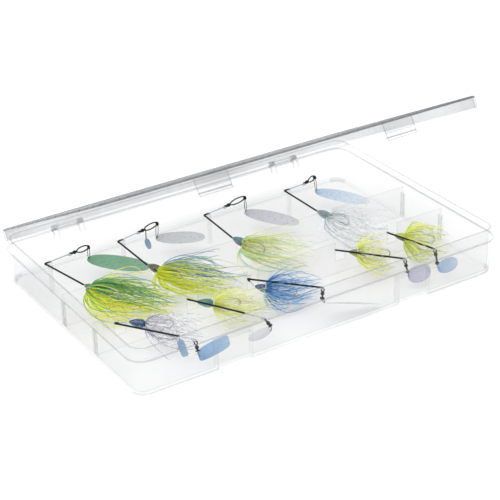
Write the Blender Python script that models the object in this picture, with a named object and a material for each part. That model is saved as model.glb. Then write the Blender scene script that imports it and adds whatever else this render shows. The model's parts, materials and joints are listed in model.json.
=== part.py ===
"""Clear utility box for spinnerbaits: tray, hinged lid, snap latches, slotted racks and nine lures.

The frame is metres, +Z up, the long side along X, the latches towards -Y and the hinge towards +Y.
The origin is the bottom centre of the whole box. Plan positions inside the tray are given in
millimetres from its front left corner, as they would be measured with a rule.
"""
import math

import bmesh
import bpy
from mathutils import Matrix, Vector

MM = 0.001

# Tray
LENGTH = 355.6 * MM
WIDTH = 231.8 * MM
CORNER_R = 12.0 * MM
WALL = 1.8 * MM
FLOOR = 2.0 * MM
BOTTOM_R = 3.0 * MM
FLANGE_Z = 32.0 * MM
FLANGE_T = 2.0 * MM
FLANGE_OUT = 2.4 * MM
RIM_Z = 43.0 * MM
CORNER_STEPS = 6

# Finger recesses under the latches
LATCH_X = LENGTH / 4.0
RECESS_W = 31.0 * MM
RECESS_D = 4.0 * MM
RECESS_TOP = 26.0 * MM

# Lid, in its closed place
SKIRT_GAP = 0.4 * MM
SKIRT_T = 1.7 * MM
LID_T = 1.8 * MM
LID_R = 2.0 * MM
SEAT_GAP = 0.4 * MM
LID_OPEN = math.radians(28.0)

# Hinge
HINGE_X = 115.0 * MM
HINGE_OFFSET = 5.4 * MM
HINGE_Z = 33.0 * MM
EAR_R = 3.0 * MM
EAR_W = 5.0 * MM
EAR_SPAN = 30.0 * MM
BAR_R = 1.5 * MM
BAR_PLAY = 0.25 * MM
SNAP_W = 2.4 * MM
ARM_LOW = 1.5 * MM
ARM_HIGH = 6.0 * MM
EAR_FOOT_Z = 22.0 * MM

# Latch flaps
LATCH_W = 30.0 * MM
LATCH_T = 1.5 * MM
LATCH_GAP = 0.7 * MM
LATCH_TOP = 44.0 * MM
LATCH_TIP = 28.6 * MM
LATCH_FLARE = math.radians(9.0)

# Racks
RACK_T = 1.6 * MM
RACK_TOP = 33.0 * MM
CLEAR = 0.3 * MM
GUIDE = 1.4 * MM
GUIDE_TOP = 26.0 * MM
RACK_FRONT_Y = 72.5 * MM
RACK_MIDDLE_Y = 127.5 * MM
HEAD_SLOT = 12.0 * MM
WIRE_SLOT = 10.0 * MM
POST = 3.0 * MM
POST_TOP = 31.5 * MM
POST_SHIFT = (3.5, -2.5)

# Lures
WIRE_R = 0.6 * MM
TIE_REACH = 2.5 * MM
TIE_DEPTH = 0.5 * MM
HEAD_LONG = 16.0 * MM
HEAD_R = 3.8 * MM
HEAD_STEPS = 8
HEAD_SIDES = 10
SWIVEL_R = 1.2 * MM
SKIRT_NECK = 3.0 * MM
SKIRT_FLATNESS = 0.45
SKIRT_SWELL = (0.06, 0.78)
SKIRT_SIDES = 12
SKIRT_RINGS = 6
BLADE_T = 0.8 * MM
BLADE_STEPS = 8
HOOK_R = 0.6 * MM
HOOK_SHANK = 17.0 * MM
HOOK_GAPE = 3.7 * MM
HOOK_POINT = 8.0 * MM
HOOK_STEPS = 5
TUBE_SIDES = 6

TRAY_Y = -(HINGE_OFFSET + EAR_R - FLANGE_OUT) / 2.0
FRONT = TRAY_Y - WIDTH / 2.0
BACK = TRAY_Y + WIDTH / 2.0
SKIRT_IN = SKIRT_GAP
SKIRT_OUT = SKIRT_GAP + SKIRT_T
SKIRT_Z = FLANGE_Z + FLANGE_T + SEAT_GAP
LID_UNDER = RIM_Z + SEAT_GAP
LID_TOP = LID_UNDER + LID_T
HINGE_AXIS = Vector((0.0, BACK + HINGE_OFFSET, HINGE_Z))
LATCH_Y = FRONT - SKIRT_OUT - LATCH_GAP

# Lures: places in millimetres. bend is the line tie, head the middle of the lead head, fan and tail
# the middle and the end of the skirt, arm the end of the blade arm, ring the far end of the swivel,
# and blade the middle of the blade. size is the blade's length and width, and turn, pitch and roll
# are its angles in degrees: its direction in plan, its dip, and its tilt about its own length.
# spread is half the skirt's greatest width.
REAR_LURES = [
    {"bend": (16.5, 188, 30), "head": (31, 131, 28), "fan": (57, 105, 19), "tail": (86, 97, 13),
     "spread": 17, "arm": (40, 190, 31), "ring": (61, 193.5, 30), "blade": (79, 174, 18),
     "size": (57, 20), "turn": -48, "pitch": 2, "roll": 8,
     "paint": (0.20, 0.27, 0.22), "strands": (0.52, 0.72, 0.06), "plate": (0.10, 0.36, 0.22)},
    {"bend": (87, 188, 30), "head": (91, 131, 28), "fan": (124, 104.5, 19), "tail": (150, 96, 13),
     "spread": 17, "arm": (108, 191, 31), "ring": (132, 198, 30), "blade": (147, 184, 18),
     "size": (44, 18), "turn": -27, "pitch": 2, "roll": 8,
     "paint": (0.25, 0.27, 0.06), "strands": (0.55, 0.75, 0.10), "plate": (0.55, 0.60, 0.66)},
    {"bend": (175, 188, 30), "head": (176, 131, 28), "fan": (204, 105, 19), "tail": (226, 97, 13),
     "spread": 17, "arm": (197, 190, 31), "ring": (224, 197, 30), "blade": (235.5, 170, 18),
     "size": (54, 18), "turn": -57, "pitch": 2, "roll": 8,
     "paint": (0.55, 0.14, 0.20), "strands": (0.62, 0.78, 0.12), "plate": (0.60, 0.60, 0.70)},
    {"bend": (262, 188, 30), "head": (266, 131, 28), "fan": (288, 105, 19), "tail": (310, 97, 13),
     "spread": 17, "arm": (283, 188, 31), "ring": (301, 195.5, 30), "blade": (313.5, 168, 18),
     "size": (55, 17), "turn": -57, "pitch": 2, "roll": 8,
     "paint": (0.34, 0.42, 0.46), "strands": (0.60, 0.68, 0.70), "plate": (0.36, 0.52, 0.70)},
]
FRONT_LURES = [
    {"bend": (22.5, 75.5, 24), "head": (38, 65, 24), "fan": (58, 52, 16), "tail": (82, 42, 13),
     "spread": 13, "arm": (61.6, 15.9, 25), "ring": (60.7, 10.8, 17.5), "blade": (75, 9.5, 15.5),
     "size": (29, 13), "turn": 0, "pitch": -10, "roll": 86,
     "paint": (0.03, 0.07, 0.17), "strands": (0.50, 0.50, 0.58), "plate": (0.14, 0.27, 0.45)},
    {"bend": (90, 75.5, 24), "head": (102, 66, 21), "fan": (126, 56, 16), "tail": (150, 46, 13),
     "spread": 13, "arm": (124, 13, 25), "ring": (128.5, 10.4, 17.5), "blade": (118, 9.5, 13),
     "size": (22, 11), "turn": 180, "pitch": 0, "roll": 80,
     "paint": (0.16, 0.36, 0.34), "strands": (0.62, 0.78, 0.10), "plate": (0.66, 0.72, 0.76)},
    {"bend": (149, 75.5, 24), "head": (157, 64, 18), "fan": (180, 55, 13), "tail": (202, 50, 12),
     "spread": 13, "arm": (191, 26, 25), "ring": (184.5, 17.5, 21), "blade": (209, 10.5, 11.7),
     "size": (55, 12), "turn": -7.4, "pitch": 16, "roll": -27,
     "paint": (0.14, 0.22, 0.30), "strands": (0.08, 0.28, 0.60), "plate": (0.50, 0.55, 0.58)},
    {"bend": (239, 75.5, 24), "head": (254.5, 64.5, 21), "fan": (267, 56.5, 18), "tail": (284, 50, 14),
     "spread": 11, "arm": (277, 27, 25), "ring": (273.7, 18.5, 17), "blade": (285, 16, 13),
     "size": (24, 15), "turn": 0, "pitch": 0, "roll": 62,
     "paint": (0.30, 0.34, 0.10), "strands": (0.60, 0.76, 0.10), "plate": (0.48, 0.48, 0.58)},
    {"bend": (295.5, 75.5, 24), "head": (305, 66, 21), "fan": (320, 56, 17), "tail": (339, 48, 13),
     "spread": 11, "arm": (309, 26, 25), "ring": (301.2, 12.6, 19.5), "blade": (310.6, 9.5, 16),
     "size": (22, 13), "turn": 0, "pitch": 0, "roll": 78,
     "paint": (0.42, 0.50, 0.04), "strands": (0.58, 0.72, 0.08), "plate": (0.22, 0.36, 0.56)},
]


def plan(x, y, z):
    """World position of a point measured in millimetres from the tray's front left corner."""
    return Vector((x * MM - LENGTH / 2.0, y * MM + FRONT, z * MM))


def material(name, colour, roughness, metallic=0.0, alpha=1.0):
    """Principled material with the given base colour."""
    mat = bpy.data.materials.get(name)
    if mat is None:
        mat = bpy.data.materials.new(name)
        mat.use_nodes = True
        shader = mat.node_tree.nodes["Principled BSDF"]
        shader.inputs["Base Color"].default_value = (*colour, 1.0)
        shader.inputs["Roughness"].default_value = roughness
        shader.inputs["Metallic"].default_value = metallic
        shader.inputs["Alpha"].default_value = alpha
    return mat


def add_object(name, bm, mat, smooth=False):
    """Turn a bmesh into a named object."""
    bmesh.ops.recalc_face_normals(bm, faces=bm.faces)
    mesh = bpy.data.meshes.new(name)
    bm.to_mesh(mesh)
    bm.free()
    if smooth:
        mesh.shade_smooth()
        mesh.set_sharp_from_angle(angle=math.radians(35.0))
    obj = bpy.data.objects.new(name, mesh)
    obj.data.materials.append(mat)
    bpy.context.scene.collection.objects.link(obj)
    return obj


def rounded_loop(offset, z):
    """Points of the tray's rounded outline, grown outwards by offset, at height z."""
    radius = max(CORNER_R + offset, 0.5 * MM)
    half_x = LENGTH / 2.0 + offset - radius
    half_y = WIDTH / 2.0 + offset - radius
    points = []
    for corner, (sx, sy) in enumerate(((1, 1), (-1, 1), (-1, -1), (1, -1))):
        for step in range(CORNER_STEPS + 1):
            angle = math.radians(90.0 * (corner + step / CORNER_STEPS))
            points.append(Vector((sx * half_x + radius * math.cos(angle),
                                  TRAY_Y + sy * half_y + radius * math.sin(angle), z)))
    return points


def loft(loops):
    """Closed skin through loops of equal point counts, capped at both ends."""
    bm = bmesh.new()
    rings = [[bm.verts.new(point) for point in loop] for loop in loops]
    count = len(rings[0])
    for lower, upper in zip(rings, rings[1:]):
        for i in range(count):
            j = (i + 1) % count
            bm.faces.new((lower[i], lower[j], upper[j], upper[i]))
    bm.faces.new(list(reversed(rings[0])))
    bm.faces.new(rings[-1])
    return bm


def box_mesh(low, high):
    """Bmesh box between two corners."""
    bm = bmesh.new()
    size = Vector(high) - Vector(low)
    centre = (Vector(high) + Vector(low)) / 2.0
    bmesh.ops.create_cube(bm, size=1.0, matrix=Matrix.Translation(centre) @ Matrix.Diagonal((*size, 1.0)))
    return bm


def rod_mesh(radius, x_low, x_high, y, z, sides=16):
    """Bmesh cylinder lying along X."""
    bm = bmesh.new()
    centre = Matrix.Translation(((x_low + x_high) / 2.0, y, z))
    place = centre @ Matrix.Rotation(math.radians(90.0), 4, "Y")
    bmesh.ops.create_cone(bm, cap_ends=True, segments=sides, radius1=radius, radius2=radius,
                          depth=x_high - x_low, matrix=place)
    return bm


def slab_mesh(outline, x_low, x_high):
    """Bmesh prism along X from an outline of (y, z) points."""
    bm = bmesh.new()
    start = [bm.verts.new((x_low, y, z)) for y, z in outline]
    end = [bm.verts.new((x_high, y, z)) for y, z in outline]
    for i in range(len(outline)):
        j = (i + 1) % len(outline)
        bm.faces.new((start[i], start[j], end[j], end[i]))
    bm.faces.new(list(reversed(start)))
    bm.faces.new(end)
    bmesh.ops.recalc_face_normals(bm, faces=bm.faces)
    return bm


def tool_object(name, bm):
    """Helper solid for a Boolean, hidden from the result."""
    bmesh.ops.recalc_face_normals(bm, faces=bm.faces)
    mesh = bpy.data.meshes.new(name)
    bm.to_mesh(mesh)
    bm.free()
    obj = bpy.data.objects.new(name, mesh)
    bpy.context.scene.collection.objects.link(obj)
    obj.hide_render = True
    obj.display_type = "WIRE"
    return obj


def boolean(target, operation, bm):
    """Add or cut a solid on the target, and apply it."""
    tool = tool_object(target.name + "_tool", bm)
    modifier = target.modifiers.new("shape", "BOOLEAN")
    modifier.operation = operation
    modifier.solver = "EXACT"
    modifier.object = tool
    evaluated = target.evaluated_get(bpy.context.evaluated_depsgraph_get())
    mesh = bpy.data.meshes.new_from_object(evaluated)
    target.modifiers.remove(modifier)
    old = target.data
    target.data = mesh
    bpy.data.meshes.remove(old)
    bpy.data.objects.remove(tool, do_unlink=True)


def clear_plastic():
    """Natural polypropylene, slightly milky."""
    return material("clear_polypropylene", (0.93, 0.94, 0.95), 0.18, alpha=0.35)


def make_tray():
    """Floor, walls, flange and rim, with finger recesses, hinge ears and rack guides."""
    bend = [(-BOTTOM_R * (1.0 - math.sin(a)), BOTTOM_R * (1.0 - math.cos(a)))
            for a in (0.0, math.radians(45.0), math.radians(90.0))]
    profile = bend + [
        (0.0, FLANGE_Z), (FLANGE_OUT, FLANGE_Z),
        (FLANGE_OUT, FLANGE_Z + FLANGE_T), (0.0, FLANGE_Z + FLANGE_T),
        (0.0, RIM_Z), (-WALL, RIM_Z),
        (-WALL, FLOOR + WALL), (-2.0 * WALL, FLOOR)]
    bm = loft([rounded_loop(offset, z) for offset, z in profile])
    tray = add_object("tray", bm, clear_plastic(), smooth=True)
    for side in (-1, 1):
        add_recess(tray, side * LATCH_X)
        add_ears(tray, side * HINGE_X)
        for rack_y in (RACK_FRONT_Y, RACK_MIDDLE_Y):
            add_guides(tray, side, FRONT + rack_y)
    for lure in REAR_LURES:
        add_post(tray, lure["bend"])
    return tray


def add_recess(tray, x):
    """Finger recess in the front wall: the wall steps in behind it."""
    half = RECESS_W / 2.0
    jog = box_mesh((x - half - WALL, FRONT + WALL / 2.0, FLOOR / 2.0),
                   (x + half + WALL, FRONT + RECESS_D + WALL, RECESS_TOP + WALL))
    boolean(tray, "UNION", jog)
    cut = box_mesh((x - half, FRONT - WALL, -WALL), (x + half, FRONT + RECESS_D, RECESS_TOP))
    boolean(tray, "DIFFERENCE", cut)


def add_ears(tray, x):
    """Pair of snap ears that hold one hinge bar."""
    for side in (-1, 1):
        inner = x + side * (EAR_SPAN / 2.0 - EAR_W)
        outer = x + side * EAR_SPAN / 2.0
        low, high = min(inner, outer), max(inner, outer)
        foot = slab_mesh([(BACK - WALL / 2.0, EAR_FOOT_Z), (BACK - WALL / 2.0, HINGE_Z),
                          (HINGE_AXIS.y, HINGE_Z), (HINGE_AXIS.y, HINGE_Z - EAR_R)], low, high)
        boolean(tray, "UNION", foot)
        boolean(tray, "UNION", rod_mesh(EAR_R, low, high, HINGE_AXIS.y, HINGE_Z))
        bore = rod_mesh(BAR_R + BAR_PLAY, low - WALL, high + WALL, HINGE_AXIS.y, HINGE_Z)
        boolean(tray, "DIFFERENCE", bore)
        snap = box_mesh((low - WALL, HINGE_AXIS.y, HINGE_Z - SNAP_W / 2.0),
                        (high + WALL, HINGE_AXIS.y + 2.0 * EAR_R, HINGE_Z + SNAP_W / 2.0))
        boolean(tray, "DIFFERENCE", snap)


def add_post(tray, bend):
    """Upright post inside a rear lure's line tie."""
    centre = plan(bend[0] + POST_SHIFT[0], bend[1] + POST_SHIFT[1], 0.0)
    low = (centre.x - POST / 2.0, centre.y - POST / 2.0, FLOOR / 2.0)
    high = (centre.x + POST / 2.0, centre.y + POST / 2.0, POST_TOP)
    boolean(tray, "UNION", box_mesh(low, high))


def add_guides(tray, side, y):
    """Two ribs on an end wall that keep a rack upright."""
    wall_x = side * (LENGTH / 2.0 - WALL)
    for rib in (-1, 1):
        mid = y + rib * (RACK_T / 2.0 + CLEAR + GUIDE / 2.0)
        low = (min(wall_x + side * WALL / 2.0, wall_x - side * GUIDE), mid - GUIDE / 2.0, FLOOR / 2.0)
        high = (max(wall_x + side * WALL / 2.0, wall_x - side * GUIDE), mid + GUIDE / 2.0, GUIDE_TOP)
        boolean(tray, "UNION", box_mesh(low, high))


def hinge_empty():
    """Empty on the hinge axis that carries the lid and its latches, open at rest."""
    empty = bpy.data.objects.new("lid_hinge", None)
    bpy.context.scene.collection.objects.link(empty)
    empty.location = HINGE_AXIS
    empty.rotation_euler = (-LID_OPEN, 0.0, 0.0)
    return empty


def hang_on(obj, empty, pivot):
    """Parent an object modelled in its closed place to the empty at its pivot."""
    obj.data.transform(Matrix.Translation(-pivot))
    obj.parent = empty


def make_lid(hinge):
    """Panel with a skirt all round and two hinge bars on arms at the back."""
    profile = [(SKIRT_IN, LID_UNDER), (SKIRT_IN, SKIRT_Z), (SKIRT_OUT, SKIRT_Z)]
    profile += [(SKIRT_OUT - LID_R * (1.0 - math.cos(a)), LID_TOP - LID_R * (1.0 - math.sin(a)))
                for a in (0.0, math.radians(45.0), math.radians(90.0))]
    bm = loft([rounded_loop(offset, z) for offset, z in profile])
    lid = add_object("lid", bm, clear_plastic(), smooth=True)
    arm_half = EAR_SPAN / 2.0 - EAR_W - 2.0 * CLEAR
    for side in (-1, 1):
        x = side * HINGE_X
        skin = BACK + SKIRT_OUT - SKIRT_T / 2.0
        outline = [(skin, SKIRT_Z + ARM_LOW), (skin, SKIRT_Z + ARM_HIGH),
                   (HINGE_AXIS.y + 0.7 * BAR_R, HINGE_Z), (HINGE_AXIS.y - 0.5 * BAR_R, HINGE_Z)]
        arm = slab_mesh(outline, x - arm_half, x + arm_half)
        boolean(lid, "UNION", arm)
        bar = rod_mesh(BAR_R, x - EAR_SPAN / 2.0, x + EAR_SPAN / 2.0, HINGE_AXIS.y, HINGE_Z)
        boolean(lid, "UNION", bar)
    hang_on(lid, hinge, HINGE_AXIS)
    return lid


def make_latch(name, x, hinge):
    """Snap flap on the front skirt, with a catch that hooks under the tray's flange."""
    pivot = Vector((x, LATCH_Y - LATCH_T / 2.0, LATCH_TOP))
    catch = LATCH_Y + FLANGE_OUT - 0.6 * MM
    back = LATCH_Y - LATCH_T
    outline = [(LATCH_Y, LATCH_TOP), (LATCH_Y, FLANGE_Z - CLEAR),
               (catch, FLANGE_Z - CLEAR - 0.4 * MM), (LATCH_Y, LATCH_TIP + 0.4 * MM),
               (back, LATCH_TIP), (back - 1.2 * MM, LATCH_TIP),
               (back, LATCH_TIP + 2.5 * MM), (back, LATCH_TOP)]
    bm = slab_mesh(outline, x - LATCH_W / 2.0, x + LATCH_W / 2.0)
    latch = add_object(name, bm, clear_plastic())
    pin = bpy.data.objects.new(name + "_pivot", None)
    bpy.context.scene.collection.objects.link(pin)
    pin.parent = hinge
    pin.location = pivot - HINGE_AXIS
    pin.rotation_euler = (-LATCH_FLARE, 0.0, 0.0)
    hang_on(latch, pin, pivot)
    return latch


def make_rack(name, y, slots):
    """Upright strip across the tray with slots open at its top edge, as (centre, width, bottom)."""
    half = LENGTH / 2.0 - WALL - CLEAR
    toe = WALL + CLEAR
    outline = [(-half, RACK_TOP), (-half, FLOOR + toe), (-half + toe, FLOOR + CLEAR),
               (half - toe, FLOOR + CLEAR), (half, FLOOR + toe), (half, RACK_TOP)]
    for centre, width, bottom in sorted(slots, reverse=True):
        left = centre - width / 2.0
        right = centre + width / 2.0
        outline += [(right, RACK_TOP), (right, bottom), (left, bottom), (left, RACK_TOP)]
    bm = bmesh.new()
    face = FRONT + y
    front = [bm.verts.new((x, face - RACK_T / 2.0, z)) for x, z in outline]
    rear = [bm.verts.new((x, face + RACK_T / 2.0, z)) for x, z in outline]
    for i in range(len(outline)):
        j = (i + 1) % len(outline)
        bm.faces.new((front[i], front[j], rear[j], rear[i]))
    bm.faces.new(list(reversed(front)))
    bm.faces.new(rear)
    return add_object(name, bm, clear_plastic())


def head_slot(lure):
    """Slot that a rear lure's head rests in, where its axis crosses the rack."""
    at = lure_points(lure)
    reach = (FRONT + RACK_MIDDLE_Y - at["head"].y) / at["axis"].y
    cross = at["head"] + at["axis"] * reach
    return (cross.x, HEAD_SLOT, cross.z - HEAD_R - MM)


def wire_slot(lure):
    """Slot that a front lure's wire passes through."""
    x, _, z = lure["bend"]
    return (plan(x, 0, 0).x + WIRE_SLOT / 2.0 - 2.0 * MM, WIRE_SLOT, z * MM - 9.0 * MM)


def frame_along(direction):
    """Side and up vectors square to a direction, with side level."""
    side = direction.cross(Vector((0.0, 0.0, 1.0)))
    if side.length < 1e-6:
        side = Vector((1.0, 0.0, 0.0))
    side.normalize()
    return side, side.cross(direction).normalized()


def ring(centre, side, up, half_w, half_t, sides):
    """Points of an ellipse around a path point."""
    turns = [2.0 * math.pi * i / sides for i in range(sides)]
    return [centre + side * half_w * math.cos(a) + up * half_t * math.sin(a) for a in turns]


def tube_mesh(points, radius, sides=TUBE_SIDES):
    """Closed tube along a polyline."""
    loops = []
    side, _ = frame_along(points[1] - points[0])
    for i, point in enumerate(points):
        before = points[max(i - 1, 0)]
        after = points[min(i + 1, len(points) - 1)]
        direction = (after - before).normalized()
        side = (side - direction * side.dot(direction)).normalized()
        loops.append(ring(point, side, side.cross(direction), radius, radius, sides))
    return loft(loops)


def lure_points(lure):
    """The lure's places as world vectors, with the head's axis and the point where the head ends."""
    places = {key: plan(*lure[key]) for key in ("bend", "head", "fan", "tail", "arm", "ring", "blade")}
    places["axis"] = (places["fan"] - places["bend"]).normalized()
    places["neck"] = places["head"] + places["axis"] * (HEAD_LONG / 2.0 + CLEAR)
    return places


def blade_turn(lure):
    """Rotation that lays a blade out along its direction."""
    turn = Matrix.Rotation(math.radians(lure["turn"]), 3, "Z")
    dip = Matrix.Rotation(math.radians(lure["pitch"]), 3, "Y")
    return turn @ dip @ Matrix.Rotation(math.radians(lure["roll"]), 3, "X")


def make_wire(name, at):
    """Bent wire from the head's nose through the line tie to the end of the blade arm."""
    nose = at["head"] - at["axis"] * (HEAD_LONG / 2.0 + CLEAR)
    to_head = (nose - at["bend"]).normalized()
    to_arm = (at["arm"] - at["bend"]).normalized()
    points = [nose, at["bend"] + to_head * TIE_REACH, at["bend"] - (to_head + to_arm) * TIE_DEPTH,
              at["bend"] + to_arm * TIE_REACH, at["arm"]]
    finish = material("black_wire", (0.03, 0.03, 0.03), 0.35, 0.8)
    return add_object(name, tube_mesh(points, WIRE_R), finish, True)


def make_head(name, at, colour):
    """Bullet-shaped lead head, painted."""
    loops = []
    side, up = frame_along(at["axis"])
    for step in range(1, HEAD_STEPS):
        turn = math.pi * step / HEAD_STEPS
        centre = at["head"] - at["axis"] * (HEAD_LONG / 2.0 * math.cos(turn))
        radius = HEAD_R * math.sin(turn) ** 0.7
        loops.append(ring(centre, side, up, radius, radius, HEAD_SIDES))
    return add_object(name, loft(loops), material(name + "_paint", colour, 0.3), True)


def hook_path(at, extra=0.0):
    """Centreline of the hook: shank, bend and point. extra lengthens it at both ends."""
    _, up = frame_along(at["axis"])
    middle = at["neck"] + at["axis"] * HOOK_SHANK + up * HOOK_GAPE
    points = [at["neck"] - at["axis"] * extra]
    for step in range(HOOK_STEPS + 1):
        turn = math.pi * step / HOOK_STEPS
        points.append(middle + (at["axis"] * math.sin(turn) - up * math.cos(turn)) * HOOK_GAPE)
    points.append(points[-1] - at["axis"] * (HOOK_POINT + extra))
    return points


def make_hook(name, at):
    """Single hook behind the head, point upwards."""
    finish = material("black_nickel", (0.05, 0.05, 0.06), 0.25, 0.9)
    return add_object(name, tube_mesh(hook_path(at), HOOK_R), finish, True)


def make_skirt(name, at, half_wide, colour):
    """Silicone skirt as one closed bundle that fans out behind the head, with a channel for the hook."""
    low, high = SKIRT_SWELL
    loops = []
    for step in range(SKIRT_RINGS):
        t = step / (SKIRT_RINGS - 1)
        centre = at["neck"] * (1 - t) ** 2 + at["fan"] * 2 * t * (1 - t) + at["tail"] * t ** 2
        direction = ((at["fan"] - at["neck"]) * (1 - t) + (at["tail"] - at["fan"]) * t).normalized()
        side, up = frame_along(at["axis"] if step == 0 else direction)
        swell = math.sin(math.pi * (low + high * t))
        wide = SKIRT_NECK + (half_wide - SKIRT_NECK) * swell
        thick = SKIRT_NECK + (half_wide * SKIRT_FLATNESS - SKIRT_NECK) * swell
        loops.append(ring(centre, side, up, wide, thick, SKIRT_SIDES))
    skirt = add_object(name, loft(loops), material(name + "_silicone", colour, 0.4), True)
    boolean(skirt, "DIFFERENCE", tube_mesh(hook_path(at, SKIRT_NECK), HOOK_R + 2.0 * CLEAR))
    return skirt


def make_swivel(name, at):
    """Barrel swivel between the blade arm and the blade."""
    way = (at["ring"] - at["arm"]).normalized()
    start = at["arm"] + way * (WIRE_R + SWIVEL_R)
    points = [start, start.lerp(at["ring"], 0.3), start.lerp(at["ring"], 0.7), at["ring"]]
    finish = material("black_nickel", (0.05, 0.05, 0.06), 0.25, 0.9)
    return add_object(name, tube_mesh(points, SWIVEL_R), finish, True)


def make_blade(name, lure, at, colour):
    """Willow-leaf blade: a thin pointed plate."""
    half_long, half_wide = lure["size"][0] * MM / 2.0, lure["size"][1] * MM / 2.0
    turns = [math.pi * i / BLADE_STEPS for i in range(BLADE_STEPS + 1)]
    upper = [(-half_long * math.cos(a), half_wide * math.sin(a) ** 0.85) for a in turns]
    outline = upper + [(x, -y) for x, y in reversed(upper[1:-1])]
    turn = blade_turn(lure)
    loops = [[at["blade"] + turn @ Vector((x, y, level)) for x, y in outline]
             for level in (-BLADE_T / 2.0, BLADE_T / 2.0)]
    return add_object(name, loft(loops), material(name + "_plate", colour, 0.15, 1.0))


def make_lure(number, lure):
    """All pieces of one spinnerbait."""
    at = lure_points(lure)
    stem = f"lure_{number}_"
    make_wire(stem + "wire", at)
    make_head(stem + "head", at, lure["paint"])
    make_skirt(stem + "skirt", at, lure["spread"] * MM, lure["strands"])
    make_hook(stem + "hook", at)
    make_swivel(stem + "swivel", at)
    make_blade(stem + "blade", lure, at, lure["plate"])


def reset_scene():
    """Remove every object of the scene."""
    for obj in list(bpy.data.objects):
        bpy.data.objects.remove(obj, do_unlink=True)


def build():
    """Model the whole box."""
    reset_scene()
    make_tray()
    hinge = hinge_empty()
    make_lid(hinge)
    make_latch("latch_left", -LATCH_X, hinge)
    make_latch("latch_right", LATCH_X, hinge)
    make_rack("rack_middle", RACK_MIDDLE_Y, [head_slot(lure) for lure in REAR_LURES])
    make_rack("rack_front", RACK_FRONT_Y, [wire_slot(lure) for lure in FRONT_LURES])
    for number, lure in enumerate(REAR_LURES + FRONT_LURES, start=1):
        make_lure(number, lure)


build()
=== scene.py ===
"""Looks of a clear tackle box stocked with nine spinnerbaits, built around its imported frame."""

import json
import logging
import math
import random
from dataclasses import dataclass, field
from enum import Enum
from typing import ClassVar

import bmesh
import bpy
import numpy as np
from mathutils import Matrix, Vector


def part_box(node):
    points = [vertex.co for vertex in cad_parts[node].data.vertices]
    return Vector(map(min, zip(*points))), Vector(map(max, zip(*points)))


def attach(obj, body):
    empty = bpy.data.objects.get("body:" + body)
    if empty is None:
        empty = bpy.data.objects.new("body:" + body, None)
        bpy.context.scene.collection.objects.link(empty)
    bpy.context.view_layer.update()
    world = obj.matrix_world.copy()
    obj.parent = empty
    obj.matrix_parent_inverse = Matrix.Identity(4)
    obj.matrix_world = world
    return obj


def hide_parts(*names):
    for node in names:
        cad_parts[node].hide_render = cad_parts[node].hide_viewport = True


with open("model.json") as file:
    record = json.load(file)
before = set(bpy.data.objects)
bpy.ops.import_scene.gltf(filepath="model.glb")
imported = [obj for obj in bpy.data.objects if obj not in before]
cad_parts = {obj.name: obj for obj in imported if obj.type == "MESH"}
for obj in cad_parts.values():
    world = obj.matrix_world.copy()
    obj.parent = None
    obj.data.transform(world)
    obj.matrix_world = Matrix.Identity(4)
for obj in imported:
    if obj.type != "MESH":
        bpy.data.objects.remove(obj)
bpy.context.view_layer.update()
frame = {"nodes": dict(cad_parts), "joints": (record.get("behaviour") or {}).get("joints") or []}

log = logging.getLogger("tackle_box")
MM = 0.001
UP = Vector((0.0, 0.0, 1.0))
LID_OPEN = math.radians(next(j for j in frame["joints"] if j["name"] == "lid_hinge")["range_deg"][0])
Colour = tuple[float, float, float]
Path = list[Vector]


# ---------------------------------------------------------------- shader effects


class Effect(Enum):
    """Shader effects that several finishes share."""

    GRAIN = "grain"
    CLOUD = "cloud"
    FLECK = "fleck"
    ALONG = "along"


class Graph:
    """A node tree with short calls for the nodes that the finishes use."""

    def __init__(self, tree: bpy.types.NodeTree) -> None:
        """Wrap a node tree.

        Args:
            tree: The material's or the group's tree.
        """
        self.tree = tree

    def node(self, kind: str, **settings: object) -> bpy.types.Node:
        """Add a node.

        Args:
            kind: Blender's node type.
            settings: Properties to set on it.

        Returns:
            The node.
        """
        made = self.tree.nodes.new(kind)
        for key, value in settings.items():
            setattr(made, key, value)
        return made

    def feed(self, socket: bpy.types.NodeSocket, value: object) -> None:
        """Link a socket to another, or set its value.

        Args:
            socket: The input to feed.
            value: A socket, a number, or a colour.
        """
        if isinstance(value, bpy.types.NodeSocket):
            self.tree.links.new(value, socket)
        elif isinstance(value, tuple):
            socket.default_value = (*value, 1.0) if socket.type == "RGBA" else value
        else:
            socket.default_value = value

    def math(
        self, operation: str, first: object, second: object = 0.0, clamp: bool = False
    ) -> bpy.types.NodeSocket:
        """Add a Math node.

        Args:
            operation: Its operation.
            first: Its first input.
            second: Its second input.
            clamp: Whether the result stays between 0 and 1.

        Returns:
            The result's socket.
        """
        made = self.node("ShaderNodeMath", operation=operation, use_clamp=clamp)
        self.feed(made.inputs[0], first)
        self.feed(made.inputs[1], second)
        return made.outputs[0]

    def mix(self, factor: object, first: object, second: object) -> bpy.types.NodeSocket:
        """Mix two colours.

        Args:
            factor: Share of the second.
            first: First colour.
            second: Second colour.

        Returns:
            The colour's socket.
        """
        # Inputs 6 and 7 are the two colours, and output 2 is the mixed one.
        made = self.node("ShaderNodeMix", data_type="RGBA")
        self.feed(made.inputs["Factor"], factor)
        self.feed(made.inputs[6], first)
        self.feed(made.inputs[7], second)
        return made.outputs[2]

    def attribute(self, name: str) -> bpy.types.NodeSocket:
        """Read a number stored on the mesh.

        Args:
            name: The attribute's name.

        Returns:
            The number's socket.
        """
        return self.node("ShaderNodeAttribute", attribute_name=name).outputs["Fac"]

    def effect(self, effect: Effect, **values: object) -> bpy.types.Node:
        """Place a shared effect with its own values.

        Args:
            effect: Which effect.
            values: Input values by socket name.

        Returns:
            The group node.
        """
        made = self.node("ShaderNodeGroup", node_tree=EFFECTS.tree(effect))
        for key, value in values.items():
            self.feed(made.inputs[key], value)
        return made


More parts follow.
